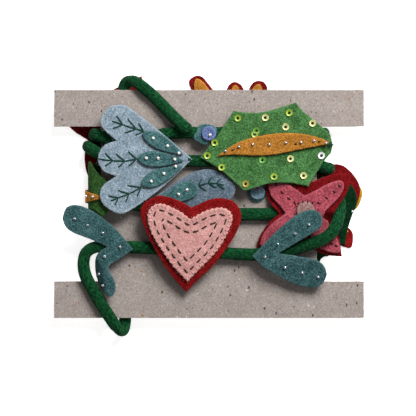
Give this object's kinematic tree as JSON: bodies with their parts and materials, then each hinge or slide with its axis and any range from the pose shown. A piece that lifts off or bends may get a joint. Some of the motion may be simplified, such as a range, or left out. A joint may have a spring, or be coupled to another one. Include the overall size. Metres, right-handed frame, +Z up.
{
  "type": "felt garland on a winding card",
  "caption": "Cut felt leaves, flowers and a heart sewn to a green felt rope that is wound round a flat H-shaped card.",
  "frame": {"origin": "middle of the bottom of the whole thing: under the centre of its outline, on the surface that the shapes on the back rest on", "axes": "+X along the bars of the card, +Y across them towards the bar that the free end of the rope falls over, +Z up out of the side with the heart"},
  "size_m": [0.203, 0.1718, 0.0301],
  "materials": {
    "board": "uncoated recycled chipboard with coloured flecks",
    "rope_felt": "solid wet-felted wool rope, matt and slightly hairy",
    "blue_felt": "matt heathered wool felt with cut edges",
    "slate_felt": "matt heathered wool felt with cut edges",
    "teal_felt": "matt heathered wool felt with cut edges",
    "deep_teal_felt": "matt heathered wool felt with cut edges",
    "holly_felt": "matt heathered wool felt with cut edges",
    "dark_holly_felt": "matt heathered wool felt with cut edges",
    "mustard_felt": "matt heathered wool felt with cut edges",
    "red_felt": "matt heathered wool felt with cut edges",
    "wine_felt": "matt heathered wool felt with cut edges",
    "pink_felt": "matt heathered wool felt with cut edges",
    "rose_felt": "matt heathered wool felt with cut edges",
    "blush_felt": "matt heathered wool felt with cut edges",
    "violet_felt": "matt heathered wool felt with cut edges",
    "sky_felt": "matt heathered wool felt with cut edges",
    "yellow_felt": "matt heathered wool felt with cut edges",
    "pine_felt": "matt heathered wool felt with cut edges"
  },
  "bodies": {
    "root": {"card": "board", "rope": "rope_felt", "blue_leaf": "blue_felt", "blue_leaf_upper_petal": "teal_felt", "blue_leaf_middle_petal": "teal_felt", "blue_leaf_lower_petal": "teal_felt", "slate_leaf": "slate_felt", "slate_leaf_petal": "teal_felt", "holly_leaf": "holly_felt", "holly_vein": "mustard_felt", "heart_red": "red_felt", "heart_pink": "pink_felt", "teal_leaf_left": "deep_teal_felt", "teal_leaf_right": "deep_teal_felt", "flower_red": "wine_felt", "flower_rose": "rose_felt", "flower_centre": "blush_felt", "violet_flower_backing": "teal_felt", "violet_flower": "violet_felt", "sky_flower_backing": "teal_felt", "sky_flower": "sky_felt", "wrapped_holly": "dark_holly_felt", "wrapped_holly_vein": "mustard_felt", "back_flower_wine": "wine_felt", "back_fan_red": "wine_felt", "back_fan_left_petal": "mustard_felt", "back_fan_middle_petal": "mustard_felt", "back_fan_right_petal": "mustard_felt", "edge_petal_yellow": "yellow_felt", "edge_petal_red": "wine_felt", "pine_leaf": "pine_felt", "edge_bud_red": "red_felt"}
  },
  "joints": []
}
